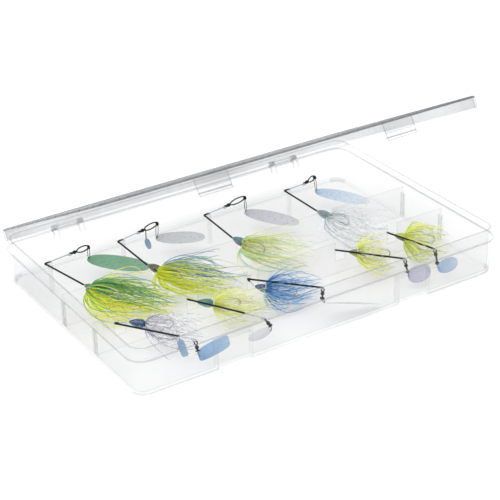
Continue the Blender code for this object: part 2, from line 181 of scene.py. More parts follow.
class EffectLibrary:
    """Node groups of the shared effects, each built once."""

    def __init__(self) -> None:
        """Start with no group built."""
        self.built: dict[Effect, bpy.types.NodeTree] = {}

    def tree(self, effect: Effect) -> bpy.types.NodeTree:
        """Give an effect's node group.

        Args:
            effect: Which effect.

        Returns:
            The group.
        """
        if effect not in self.built:
            makers = {
                Effect.GRAIN: self.grain,
                Effect.CLOUD: self.cloud,
                Effect.FLECK: self.fleck,
                Effect.ALONG: self.along,
            }
            self.built[effect] = makers[effect]()
        return self.built[effect]

    @staticmethod
    def start(
        name: str, inputs: dict[str, str], outputs: dict[str, str]
    ) -> tuple[Graph, bpy.types.NodeOutputs, bpy.types.NodeInputs]:
        """Begin a group.

        Args:
            name: The group's name.
            inputs: Socket kind by input name.
            outputs: Socket kind by output name.

        Returns:
            The graph, the sockets that bring its values in, and those that take its results out.
        """
        tree = bpy.data.node_groups.new(name, "ShaderNodeTree")
        for key, kind in inputs.items():
            tree.interface.new_socket(key, in_out="INPUT", socket_type="NodeSocket" + kind)
        for key, kind in outputs.items():
            tree.interface.new_socket(key, in_out="OUTPUT", socket_type="NodeSocket" + kind)
        graph = Graph(tree)
        return graph, graph.node("NodeGroupInput").outputs, graph.node("NodeGroupOutput").inputs

    @staticmethod
    def noise(graph: Graph, scale: object, detail: float) -> bpy.types.NodeSocket:
        """Add noise in the piece's own coordinates.

        Args:
            graph: Where to add it.
            scale: Its scale, in cells per metre.
            detail: Its octaves.

        Returns:
            The noise's value.
        """
        place = graph.node("ShaderNodeTexCoord").outputs["Object"]
        made = graph.node("ShaderNodeTexNoise")
        graph.feed(made.inputs["Vector"], place)
        graph.feed(made.inputs["Scale"], scale)
        graph.feed(made.inputs["Detail"], detail)
        return made.outputs["Fac"]

    def grain(self) -> bpy.types.NodeTree:
        """Build the fine grain: a height for bump and a roughness around a middle value.

        Returns:
            The group.
        """
        graph, inner, outer = self.start(
            "grain",
            {"Scale": "Float", "Height": "Float", "Roughness": "Float", "Spread": "Float"},
            {"Height": "Float", "Roughness": "Float"},
        )
        noise = self.noise(graph, inner["Scale"], 3.0)
        swing = graph.math("SUBTRACT", noise, 0.5)
        graph.feed(outer["Height"], graph.math("MULTIPLY", noise, inner["Height"]))
        rough = graph.math("ADD", inner["Roughness"], graph.math("MULTIPLY", swing, inner["Spread"]), True)
        graph.feed(outer["Roughness"], rough)
        return graph.tree

    def cloud(self) -> bpy.types.NodeTree:
        """Build the slow change of a value over a large surface.

        Returns:
            The group.
        """
        graph, inner, outer = self.start(
            "cloud",
            {"Scale": "Float", "Low": "Float", "High": "Float"},
            {"Value": "Float"},
        )
        ramp = graph.node("ShaderNodeMapRange")
        graph.feed(ramp.inputs["Value"], self.noise(graph, inner["Scale"], 1.5))
        graph.feed(ramp.inputs["From Min"], 0.3)
        graph.feed(ramp.inputs["From Max"], 0.7)
        graph.feed(ramp.inputs["To Min"], inner["Low"])
        graph.feed(ramp.inputs["To Max"], inner["High"])
        graph.feed(outer["Value"], ramp.outputs["Result"])
        return graph.tree

    def fleck(self) -> bpy.types.NodeTree:
        """Build scattered specks of a second colour.

        Returns:
            The group.
        """
        graph, inner, outer = self.start(
            "fleck",
            {"Scale": "Float", "Amount": "Float", "Base": "Color", "Fleck": "Color"},
            {"Color": "Color", "Mask": "Float"},
        )
        cells = graph.node("ShaderNodeTexVoronoi")
        graph.feed(cells.inputs["Vector"], graph.node("ShaderNodeTexCoord").outputs["Object"])
        graph.feed(cells.inputs["Scale"], inner["Scale"])
        pick = graph.node("ShaderNodeSeparateColor")
        graph.feed(pick.inputs[0], cells.outputs["Color"])
        chosen = graph.math("LESS_THAN", pick.outputs[0], inner["Amount"])
        near = graph.math("LESS_THAN", cells.outputs["Distance"], 0.42)
        mask = graph.math("MULTIPLY", chosen, near)
        graph.feed(outer["Mask"], mask)
        graph.feed(outer["Color"], graph.mix(mask, inner["Base"], inner["Fleck"]))
        return graph.tree

    def along(self) -> bpy.types.NodeTree:
        """Build the change of colour along a piece, a little different on each strand.

        Returns:
            The group.
        """
        graph, inner, outer = self.start(
            "along",
            {"Start": "Color", "End": "Color", "Power": "Float", "Variation": "Float"},
            {"Color": "Color"},
        )
        reach = graph.math("POWER", graph.attribute("along"), inner["Power"])
        blend = graph.mix(reach, inner["Start"], inner["End"])
        tone = graph.math("SUBTRACT", graph.attribute("shade"), 0.5)
        value = graph.math("ADD", graph.math("MULTIPLY", tone, inner["Variation"]), 1.0)
        tint = graph.node("ShaderNodeHueSaturation")
        graph.feed(tint.inputs["Value"], value)
        graph.feed(tint.inputs["Color"], blend)
        graph.feed(outer["Color"], tint.outputs["Color"])
        return graph.tree


EFFECTS = EffectLibrary()


# ---------------------------------------------------------------- finishes


@dataclass(frozen=True)
class Finish:
    """What every finish has: a name, and a Principled shader to fill in."""

    name: str

    def start(self) -> tuple[bpy.types.Material, Graph, bpy.types.Node]:
        """Make the empty material.

        Returns:
            The material, its graph and its Principled shader.
        """
        made = bpy.data.materials.new(self.name)
        made.use_nodes = True
        return made, Graph(made.node_tree), made.node_tree.nodes["Principled BSDF"]

    @staticmethod
    def bump(graph: Graph, shader: bpy.types.Node, height: object, distance: float) -> None:
        """Feed a height to the shader's normal.

        Args:
            graph: The material's graph.
            shader: Its Principled shader.
            height: The height's socket.
            distance: How deep the relief is, in metres.
        """
        made = graph.node("ShaderNodeBump")
        graph.feed(made.inputs["Height"], height)
        graph.feed(made.inputs["Distance"], distance)
        graph.feed(shader.inputs["Normal"], made.outputs["Normal"])


@dataclass(frozen=True)
class ClearPlastic(Finish):
    """Natural polypropylene: clear faces; milky where it is seen along its skin, partly its own haze and
    partly painted shade and reflection at grazing angles; and grey edge lines painted as shade.
    """

    haze: float = 0.10
    rim: float = 0.25
    edge: float = 0.40
    tint: Colour = (0.33, 0.34, 0.36)
    # Dark grey of the edge lines: painted shade where light is bent away at a clear wall's edges.
    edge_shade_colour: Colour = (0.13, 0.14, 0.15)
    skin_blend: float = 0.35
    skin_power: float = 3.0
    ior: float = 1.49

    def build(self) -> bpy.types.Material:
        """Make the material.

        Returns:
            The material.
        """
        made, graph, shader = self.start()
        grain = graph.effect(Effect.GRAIN, Scale=260.0, Height=0.4, Roughness=0.28, Spread=0.18)
        cloud = graph.effect(Effect.CLOUD, Scale=9.0, Low=0.55, High=1.35).outputs["Value"]
        # The "edge" mask marks rounded edges and narrow strips; there the plastic turns darker grey and
        # more opaque, as painted shade.
        edge = graph.attribute("edge")
        # Greyer, more opaque skin at grazing angles: partly the plastic's haze, partly painted shade and
        # reflection.
        facing = graph.node("ShaderNodeLayerWeight")
        graph.feed(facing.inputs["Blend"], self.skin_blend)
        grazing = graph.math("POWER", facing.outputs["Facing"], self.skin_power)
        body = graph.math("MULTIPLY", cloud, self.haze)
        haze_and_grazing_shade = graph.math("ADD", body, graph.math("MULTIPLY", grazing, self.rim))
        alpha = graph.math("ADD", haze_and_grazing_shade, graph.math("MULTIPLY", edge, self.edge), True)
        graph.feed(shader.inputs["Alpha"], alpha)
        graph.feed(shader.inputs["Base Color"], graph.mix(edge, self.tint, self.edge_shade_colour))
        graph.feed(shader.inputs["Roughness"], grain.outputs["Roughness"])
        shader.inputs["IOR"].default_value = self.ior
        self.bump(graph, shader, grain.outputs["Height"], 0.05 * MM)
        return made


@dataclass(frozen=True)
class Silicone(Finish):
    """Moulded silicone strand: glossy, a little see-through, flecked, paler or darker towards its end."""

    colour: Colour = (0.6, 0.7, 0.1)
    end: Colour = (0.6, 0.7, 0.2)
    fleck: Colour = (0.1, 0.1, 0.1)
    fleck_amount: float = 0.05
    opacity: float = 0.9
    scatter: float = 0.7
    scatter_reach: float = 1.0 * MM

    def build(self) -> bpy.types.Material:
        """Make the material.

        Returns:
            The material.
        """
        made, graph, shader = self.start()
        blend = graph.effect(Effect.ALONG, Start=self.colour, End=self.end, Power=1.3, Variation=0.3)
        specks = graph.effect(
            Effect.FLECK,
            Scale=900.0,
            Amount=self.fleck_amount,
            Base=blend.outputs["Color"],
            Fleck=self.fleck,
        )
        grain = graph.effect(Effect.GRAIN, Scale=1500.0, Height=0.3, Roughness=0.34, Spread=0.2)
        graph.feed(shader.inputs["Base Color"], specks.outputs["Color"])
        graph.feed(shader.inputs["Roughness"], grain.outputs["Roughness"])
        veil = graph.math("MULTIPLY", specks.outputs["Mask"], 1.0 - self.opacity)
        graph.feed(shader.inputs["Alpha"], graph.math("ADD", veil, self.opacity, True))
        shader.inputs["Subsurface Weight"].default_value = self.scatter
        shader.inputs["Subsurface Radius"].default_value = (1.0, 1.0, 1.0)
        shader.inputs["Subsurface Scale"].default_value = self.scatter_reach
        self.bump(graph, shader, grain.outputs["Height"], 0.05 * MM)
        return made


@dataclass(frozen=True)
class HeadPaint(Finish):
    """Baked paint on a lead head: a darker back over a lighter belly, flecked, under a clear coat."""

    back: Colour = (0.1, 0.1, 0.1)
    belly: Colour = (0.5, 0.5, 0.5)
    fleck: Colour = (0.7, 0.7, 0.6)
    belly_top: float = 0.3
    back_edge: float = 0.6
    coat: float = 0.8
    coat_roughness: float = 0.08

    def build(self) -> bpy.types.Material:
        """Make the material.

        Returns:
            The material.
        """
        made, graph, shader = self.start()
        height = graph.node("ShaderNodeMapRange", interpolation_type="SMOOTHSTEP")
        mottle = graph.effect(Effect.CLOUD, Scale=700.0, Low=-0.15, High=0.15).outputs["Value"]
        graph.feed(height.inputs["Value"], graph.math("ADD", graph.attribute("up"), mottle))
        graph.feed(height.inputs["From Min"], self.belly_top)
        graph.feed(height.inputs["From Max"], self.back_edge)
        paint = graph.mix(height.outputs["Result"], self.belly, self.back)
        specks = graph.effect(Effect.FLECK, Scale=1600.0, Amount=0.07, Base=paint, Fleck=self.fleck)
        grain = graph.effect(Effect.GRAIN, Scale=900.0, Height=0.5, Roughness=0.3, Spread=0.15)
        graph.feed(shader.inputs["Base Color"], specks.outputs["Color"])
        graph.feed(shader.inputs["Roughness"], grain.outputs["Roughness"])
        shader.inputs["Coat Weight"].default_value = self.coat
        shader.inputs["Coat Roughness"].default_value = self.coat_roughness
        self.bump(graph, shader, grain.outputs["Height"], 0.04 * MM)
        return made


class Relief(Enum):
    """Patterns struck into a blade."""

    SMOOTH = "smooth"
    HAMMERED = "hammered"


@dataclass(frozen=True)
class BladePlate(Finish):
    """Plated or painted brass blade, with struck relief, its colour turning lighter towards the tip and in
    streaks.
    """

    colour: Colour = (0.6, 0.6, 0.6)
    tip: Colour = (0.8, 0.8, 0.8)
    metal: float = 0.6
    relief: Relief = Relief.SMOOTH
    dents: float = 380.0

    def build(self) -> bpy.types.Material:
        """Make the material.

        Returns:
            The material.
        """
        made, graph, shader = self.start()
        tip_blend = graph.effect(Effect.ALONG, Start=self.colour, End=self.tip, Power=1.1, Variation=0.0)
        # Lighter streaks, mixed towards the tip colour.
        streaks = graph.effect(Effect.CLOUD, Scale=220.0, Low=0.0, High=0.35).outputs["Value"]
        graph.feed(shader.inputs["Base Color"], graph.mix(streaks, tip_blend.outputs["Color"], self.tip))
        grain = graph.effect(Effect.GRAIN, Scale=420.0, Height=0.6, Roughness=0.3, Spread=0.2)
        graph.feed(shader.inputs["Roughness"], grain.outputs["Roughness"])
        shader.inputs["Metallic"].default_value = self.metal
        if self.relief is Relief.HAMMERED:
            dents = graph.node("ShaderNodeTexVoronoi", feature="SMOOTH_F1")
            graph.feed(dents.inputs["Vector"], graph.node("ShaderNodeTexCoord").outputs["Object"])
            graph.feed(dents.inputs["Scale"], self.dents)
            height = graph.math("ADD", grain.outputs["Height"], dents.outputs["Distance"])
            self.bump(graph, shader, height, 0.04 * MM)
        return made


@dataclass(frozen=True)
class Wire(Finish):
    """Drawn steel wire, dark or pale, with the marks of bending."""

    colour: Colour = (0.004, 0.004, 0.004)
    worn: Colour = (0.03, 0.03, 0.03)
    metal: float = 0.5
    roughness: float = 0.4

    def build(self) -> bpy.types.Material:
        """Make the material.

        Returns:
            The material.
        """
        made, graph, shader = self.start()
        specks = graph.effect(Effect.FLECK, Scale=1400.0, Amount=0.12, Base=self.colour, Fleck=self.worn)
        grain = graph.effect(Effect.GRAIN, Scale=2200.0, Height=0.5, Roughness=self.roughness, Spread=0.2)
        graph.feed(shader.inputs["Base Color"], specks.outputs["Color"])
        graph.feed(shader.inputs["Roughness"], grain.outputs["Roughness"])
        shader.inputs["Metallic"].default_value = self.metal
        self.bump(graph, shader, grain.outputs["Height"], 0.03 * MM)
        return made


@dataclass(frozen=True)
class StudioCard(Finish):
    """White paper sweep with a barely visible tooth."""

    colour: Colour = (0.96, 0.96, 0.96)
    shade: Colour = (0.94, 0.94, 0.95)

    def build(self) -> bpy.types.Material:
        """Make the material.

        Returns:
            The material.
        """
        made, graph, shader = self.start()
        grain = graph.effect(Effect.GRAIN, Scale=300.0, Height=0.3, Roughness=0.9, Spread=0.1)
        cloud = graph.effect(Effect.CLOUD, Scale=4.0, Low=0.0, High=0.3).outputs["Value"]
        graph.feed(shader.inputs["Base Color"], graph.mix(cloud, self.colour, self.shade))
        graph.feed(shader.inputs["Roughness"], grain.outputs["Roughness"])
        self.bump(graph, shader, grain.outputs["Height"], 0.05 * MM)
        return made


# ---------------------------------------------------------------- mesh making


def bezier(points: Path, count: int) -> Path:
    """Sample a cubic Bezier curve.

    Args:
        points: Its four control points.
        count: How many points to give.

    Returns:
        The points, ends included.
    """
    first, second, third, fourth = points
    path = []
    for step in range(count):
        t = step / (count - 1)
        s = 1.0 - t
        path.append(first * s ** 3 + second * 3 * s * s * t + third * 3 * s * t * t + fourth * t ** 3)
    return path


def arc(centre: Vector, start: Vector, normal: Vector, angle: float, count: int) -> Path:
    """Sample an arc.

    Args:
        centre: Its centre.
        start: Vector from the centre to its first point.
        normal: The axis that it turns about.
        angle: How far it turns, in radians.
        count: How many points to give.

    Returns:
        The points, ends included.
    """
    return [centre + Matrix.Rotation(angle * i / (count - 1), 3, normal) @ start for i in range(count)]


def turns(count: int) -> list[float]:
    """Give equal steps of one whole turn, in radians."""
    return [2.0 * math.pi * step / count for step in range(count)]


def across(way: Vector) -> Vector:
    """Find a level direction square to another, or any square direction where that one is upright.

    Args:
        way: The direction, one metre long.

    Returns:
        The direction square to it, one metre long.
    """
    upright = abs(way.z) > 0.9
    return way.cross(Vector((1.0, 0.0, 0.0)) if upright else UP).normalized()


def toward(way: Vector, goal: Vector) -> Vector:
    """Give a direction, turned round where it points away from a goal."""
    return way if way.dot(goal) > 0.0 else -way


class MeshBuilder:
    """Collects the faces of one piece, with the numbers that its finish reads."""

    def __init__(self) -> None:
        """Start empty."""
        self.points: Path = []
        self.faces: list[tuple[int, ...]] = []
        self.materials: list[int] = []
        self.along: list[float] = []
        self.shade: list[float] = []

    def add_ring(self, ring: Path, along: float, shade: float) -> int:
        """Add a ring of points.

        Args:
            ring: The points.
            along: How far along the piece they are, from 0 to 1.
            shade: The strand's own tone, from 0 to 1.

        Returns:
            The first point's number.
        """
        first = len(self.points)
        self.points += ring
        self.along += [along] * len(ring)
        self.shade += [shade] * len(ring)
        return first

    def add_face(self, corners: tuple[int, ...], material: int) -> None:
        """Add a face with its material's number."""
        self.faces.append(corners)
        self.materials.append(material)

    def join_rings(self, starts: list[int], sides: int, closed: bool, material: int) -> None:
        """Skin a row of rings.

        Args:
            starts: Each ring's first point.
            sides: Points in a ring.
            closed: Whether the last ring meets the first; otherwise both ends are capped.
            material: The material's number.
        """
        pairs = list(zip(starts, starts[1:]))
        if closed:
            pairs.append((starts[-1], starts[0]))
        for a, b in pairs:
            for i in range(sides):
                j = (i + 1) % sides
                self.add_face((a + i, a + j, b + j, b + i), material)
        if not closed:
            self.add_face(tuple(reversed(range(starts[0], starts[0] + sides))), material)
            self.add_face(tuple(range(starts[-1], starts[-1] + sides)), material)

    def tube(
        self,
        path: Path,
        widths: list[float],
        flatness: float = 1.0,
        sides: int = 8,
        closed: bool = False,
        material: int = 0,
        shade: float = 0.5,
    ) -> None:
        """Add a round or flat tube along a path.

        Args:
            path: Its centreline.
            widths: Half its width at each point.
            flatness: Its thickness as a share of its width.
            sides: Corners of its section.
            closed: Whether it is a loop.
            material: The material's number.
            shade: The strand's own tone.
        """
        side = None
        starts = []
        count = len(path)
        for i, point in enumerate(path):
            before = path[i - 1] if closed or i else path[0]
            after = path[(i + 1) % count] if closed or i + 1 < count else path[-1]
            way = (after - before).normalized()
            side = across(way) if side is None else side
            side = (side - way * side.dot(way)).normalized()
            up = side.cross(way) * flatness
            half = widths[i]
            ring = [point + (side * math.cos(a) + up * math.sin(a)) * half for a in turns(sides)]
            starts.append(self.add_ring(ring, i / (count - 1), shade))
        self.join_rings(starts, sides, closed, material)

    def lathe(self, origin: Vector, axis: Vector, profile: list[tuple[float, float]], sides: int) -> None:
        """Add a turned shape.

        Args:
            origin: Where the profile starts.
            axis: Its axis.
            profile: Distance along the axis and radius of each ring, from the first to the last.
            sides: Corners of its section.
        """
        side = across(axis)
        up = side.cross(axis)
        starts = []
        for reach, radius in profile:
            centre = origin + axis * reach
            ring = [centre + (side * math.cos(a) + up * math.sin(a)) * radius for a in turns(sides)]
            starts.append(self.add_ring(ring, reach / profile[-1][0], 0.5))
        self.join_rings(starts, sides, False, 0)

    def finish(
        self, name: str, finishes: list[bpy.types.Material], smooth_angle: float = 50.0
    ) -> bpy.types.Object:
        """Make the piece.

        Args:
            name: Its name.
            finishes: Its materials, in the order of their numbers.
            smooth_angle: Edges sharper than this stay sharp, in degrees.

        Returns:
            The object.
        """
        mesh = bpy.data.meshes.new(name)
        mesh.from_pydata(self.points, [], self.faces)
        for key, values in (("along", self.along), ("shade", self.shade)):
            layer = mesh.attributes.new(key, "FLOAT", "POINT")
            layer.data.foreach_set("value", values)
        mesh.polygons.foreach_set("material_index", self.materials)
        bm = bmesh.new()
        bm.from_mesh(mesh)
        bmesh.ops.recalc_face_normals(bm, faces=bm.faces)
        bm.to_mesh(mesh)
        bm.free()
        return place_object(name, mesh, finishes, smooth_angle)


def place_object(
    name: str, mesh: bpy.types.Mesh, finishes: list[bpy.types.Material], smooth_angle: float
) -> bpy.types.Object:
    """Put a mesh in the scene.

    Args:
        name: The object's name.
        mesh: Its mesh.
        finishes: Its materials.
        smooth_angle: Edges sharper than this stay sharp, in degrees.

    Returns:
        The object.
    """
    for finish in finishes:
        mesh.materials.append(finish)
    mesh.shade_smooth()
    mesh.set_sharp_from_angle(angle=math.radians(smooth_angle))
    made = bpy.data.objects.new(name, mesh)
    bpy.context.scene.collection.objects.link(made)
    return made


def cad_points(node: str) -> np.ndarray:
    """Give a CAD node's separate points.

    Args:
        node: The node's name.

    Returns:
        One row for each point, in metres.
    """
    points = np.array([v.co for v in frame["nodes"][node].data.vertices], float)
    return np.unique(points.round(6), axis=0)


# ---------------------------------------------------------------- clear mouldings


@dataclass
class Moulding:
    """A clear moulded piece: the CAD solid with its edges rounded and marked for the finish's painted edge
    shade.
    """

    node: str
    body: str
    haze: float = 0.10
    rim: float = 0.25
    edge: float = 0.40
    round_edge: float = 0.35 * MM
    sharp_angle: float = 24.0
    turned: bool = False
    strip: float = 0.0
    strip_mark: float = 0.35
    low_strip_mark: float = 0.14
    strip_level: float = 30.0 * MM
    weld: float = 0.001 * MM
    flat_angle: float = 0.4
    turned_depth: float = 2.2 * MM
    turned_slopes: tuple[float, float] = (0.15, 0.97)

    def soften(self) -> bmesh.types.BMesh:
        """Join the CAD node's facets and round its edges.

        Returns:
            The mesh, with the rounded faces and the narrow strips marked in the face layer "edge", which
            the finish draws as darker lines of painted shade.
        """
        bm = bmesh.new()
        bm.from_mesh(frame["nodes"][self.node].data)
        bmesh.ops.remove_doubles(bm, verts=bm.verts, dist=self.weld)
        flat = math.radians(self.flat_angle)
        bmesh.ops.dissolve_limit(bm, angle_limit=flat, verts=bm.verts, edges=bm.edges)
        layer = bm.faces.layers.float.new("edge")
        limit = math.radians(self.sharp_angle)
        sharp = [e for e in bm.edges if len(e.link_faces) == 2 and e.calc_face_angle() > limit]
        made = bmesh.ops.bevel(
            bm,
            geom=sharp,
            offset=self.round_edge,
            segments=2,
            profile=0.5,
            affect="EDGES",
            clamp_overlap=True,
        )
        # Rounded edges get the full painted edge shade.
        for face in made["faces"]:
            face[layer] = 1.0
        # Narrow strips get a fainter painted edge shade, fainter still low on the piece.
        for face in bm.faces:
            width = 2.0 * face.calc_area() / face.calc_perimeter()
            if width < self.strip and face[layer] == 0.0:
                high = face.calc_center_median().z > self.strip_level
                face[layer] = self.strip_mark if high else self.low_strip_mark
        if self.turned:
            self.mark_turned_edge(bm, layer)
        bmesh.ops.triangulate(bm, faces=[f for f in bm.faces if len(f.verts) > 4])
        return bm

    def mark_turned_edge(self, bm: bmesh.types.BMesh, layer: bmesh.types.BMLayerItem) -> None:
        """Mark the lid's rounded top edge, which the plastic is thickest behind, for a dark line of painted
        shade.

        Args:
            bm: The lid's mesh, part open.
            layer: The face layer that the finish reads.
        """
        panel = Matrix.Rotation(LID_OPEN, 3, "X") @ UP
        top = max(v.co.dot(panel) for v in bm.verts)
        for face in bm.faces:
            slope = face.normal.dot(panel)
            near_top = top - face.calc_center_median().dot(panel) < self.turned_depth
            if near_top and self.turned_slopes[0] < slope < self.turned_slopes[1]:
                face[layer] = 1.0

    def build(self) -> bpy.types.Object:
        """Make the piece and let it stand for its CAD node.

        Returns:
            The object.
        """
        bm = self.soften()
        mesh = bpy.data.meshes.new(self.node + "_moulding")
        bm.to_mesh(mesh)
        bm.free()
        finish = ClearPlastic(self.node + "_plastic", haze=self.haze, rim=self.rim, edge=self.edge).build()
        made = place_object(self.node + "_moulding", mesh, [finish], 35.0)
        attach(made, self.body)
        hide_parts(self.node)
        return made


@dataclass
class BoxShell:
    """The tray, the lid, its latches and the two racks."""

    mouldings: list[Moulding] = field(
        default_factory=lambda: [
            Moulding("tray", "tray", haze=0.05, rim=0.20, edge=0.80, strip=2.2 * MM),
            Moulding("lid", "lid", haze=0.17, rim=0.50, edge=0.75, round_edge=0.4 * MM, turned=True),
            Moulding("latch_left", "latch_left", haze=0.14, rim=0.30, edge=0.42, round_edge=0.3 * MM),
            Moulding("latch_right", "latch_right", haze=0.14, rim=0.30, edge=0.42, round_edge=0.3 * MM),
            Moulding("rack_front", "tray", haze=0.03, rim=0.05, edge=0.12, round_edge=0.25 * MM),
            Moulding("rack_middle", "tray", haze=0.03, rim=0.05, edge=0.12, round_edge=0.25 * MM),
        ]
    )

    def build(self) -> None:
        """Make every clear piece."""
        for moulding in self.mouldings:
            made = moulding.build()
            log.info("%s: %d faces", made.name, len(made.data.polygons))


# ---------------------------------------------------------------- lures


@dataclass(frozen=True)
class SecondBlade:
    """The small blade that hangs beside a lure's main one, in millimetres.

    It hangs from the arm, "before" the swivel. Where that is below zero, it hangs along the swivel.
    """

    before: float
    drop: float
    length: float
    width: float


@dataclass(frozen=True)
class LureStyle:
    """Colours and fullness of one lure. Its spread, rise, sag and curl are in millimetres."""

    back: Colour
    belly: Colour
    strands: Colour
    strand_end: Colour
    accent: Colour
    accent_share: float
    plate: Colour
    plate_tip: Colour
    relief: Relief = Relief.SMOOTH
    metal: float = 0.5
    accent_side: float | None = None
    fleck: Colour = (0.10, 0.14, 0.08)
    fleck_amount: float = 0.06
    opacity: float = 0.92
    spread: float = 20.0
    rise: float = 10.0
    sag: float = 3.0
    curl: float = 6.0
    splayed: float = 0.35
    count: int = 110
    leaf_power: float = 0.85
    second: SecondBlade | None = None
    collar: float = 0.85
    black_share: float = 0.14


STYLES = [
    LureStyle(
        back=(0.05, 0.14, 0.08), belly=(0.30, 0.42, 0.05),
        strands=(0.90, 0.94, 0.02), strand_end=(0.88, 0.94, 0.10),
        accent=(0.14, 0.40, 0.12), accent_share=0.28, accent_side=math.radians(100.0),
        fleck=(0.08, 0.02, 0.01), fleck_amount=0.10,
        count=210, spread=25.0, rise=14.0, sag=4.0, collar=0.0,
        plate=(0.12, 0.30, 0.17), plate_tip=(0.24, 0.44, 0.30),
        metal=0.2,
    ),
    LureStyle(
        back=(0.06, 0.05, 0.02), belly=(0.16, 0.15, 0.07),
        strands=(0.82, 0.92, 0.03), strand_end=(0.82, 0.92, 0.16),
        accent=(0.14, 0.32, 0.42), accent_share=0.34, accent_side=math.radians(160.0),
        fleck_amount=0.02,
        count=170, spread=26.0, rise=15.0, sag=3.0,
        plate=(0.50, 0.52, 0.55), plate_tip=(0.66, 0.68, 0.70),
        metal=0.3,
        second=SecondBlade(before=-8.5, drop=9.5, length=11.0, width=5.0),
    ),
    LureStyle(
        back=(0.04, 0.16, 0.18), belly=(0.50, 0.01, 0.08),
        strands=(0.86, 0.93, 0.20), strand_end=(0.92, 0.96, 0.50),
        accent=(0.50, 0.70, 0.50), accent_share=0.25,
        opacity=0.7,
        count=120, spread=26.0, rise=14.0,
        plate=(0.52, 0.52, 0.58), plate_tip=(0.68, 0.68, 0.72),
        metal=0.3,
    ),
    LureStyle(
        back=(0.16, 0.22, 0.24), belly=(0.40, 0.46, 0.50),
        strands=(0.84, 0.90, 0.92), strand_end=(0.90, 0.94, 0.96),
        accent=(0.30, 0.40, 0.46), accent_share=0.16,
        opacity=0.4,
        count=80, spread=24.0, rise=12.0,
        plate=(0.30, 0.48, 0.70), plate_tip=(0.80, 0.84, 0.87),
        relief=Relief.HAMMERED, metal=0.3,
    ),
    LureStyle(
        back=(0.01, 0.04, 0.12), belly=(0.05, 0.16, 0.32),
        strands=(0.82, 0.82, 0.90), strand_end=(0.88, 0.86, 0.95),
        accent=(0.36, 0.34, 0.52), accent_share=0.25,
        fleck=(0.02, 0.02, 0.05), fleck_amount=0.35, opacity=0.35,
        count=80, spread=22.0, rise=9.0,
        plate=(0.13, 0.28, 0.50), plate_tip=(0.40, 0.56, 0.74),
        relief=Relief.HAMMERED, metal=0.3, leaf_power=0.3, black_share=0.82,
        second=SecondBlade(before=14.0, drop=1.5, length=16.0, width=6.0),
    ),
    LureStyle(
        back=(0.03, 0.17, 0.14), belly=(0.20, 0.38, 0.32),
        strands=(0.88, 0.94, 0.14), strand_end=(0.92, 0.96, 0.44),
        accent=(0.92, 0.95, 0.62), accent_share=0.35,
        opacity=0.75,
        spread=22.0, rise=9.0,
        plate=(0.60, 0.62, 0.64), plate_tip=(0.74, 0.74, 0.76),
        metal=0.3, black_share=0.78,
    ),
    LureStyle(
        back=(0.01, 0.04, 0.12), belly=(0.18, 0.36, 0.52),
        strands=(0.05, 0.22, 0.54), strand_end=(0.14, 0.36, 0.66),
        accent=(0.58, 0.74, 0.86), accent_share=0.35,
        fleck=(0.01, 0.02, 0.06),
        count=130, spread=23.0, rise=12.0, collar=0.2,
        plate=(0.60, 0.62, 0.64), plate_tip=(0.74, 0.74, 0.76),
        metal=0.3, black_share=1.0,
    ),
    LureStyle(
        back=(0.16, 0.20, 0.04), belly=(0.46, 0.52, 0.10),
        strands=(0.86, 0.93, 0.16), strand_end=(0.92, 0.95, 0.42),
        accent=(0.74, 0.76, 0.66), accent_share=0.35,
        opacity=0.7,
        spread=24.0, rise=13.0, collar=0.0,
        plate=(0.42, 0.42, 0.54), plate_tip=(0.60, 0.62, 0.70),
        metal=0.3, black_share=1.0,
    ),
    LureStyle(
        back=(0.42, 0.48, 0.01), belly=(0.02, 0.09, 0.08),
        strands=(0.84, 0.92, 0.10), strand_end=(0.86, 0.92, 0.30),
        accent=(0.44, 0.54, 0.24), accent_share=0.35,
        opacity=0.85,
        spread=26.0, rise=14.0, collar=0.3,
        plate=(0.20, 0.36, 0.58), plate_tip=(0.58, 0.64, 0.70),
        relief=Relief.HAMMERED, metal=0.3, black_share=1.0,
    ),
]


@dataclass(frozen=True)
class PlatePlace:
    """Where a blade lies: its middle, its long, wide and thick directions, and its half sizes."""

    middle: Vector
    long: Vector
    wide: Vector
    thick: Vector
    half_long: float
    half_wide: float


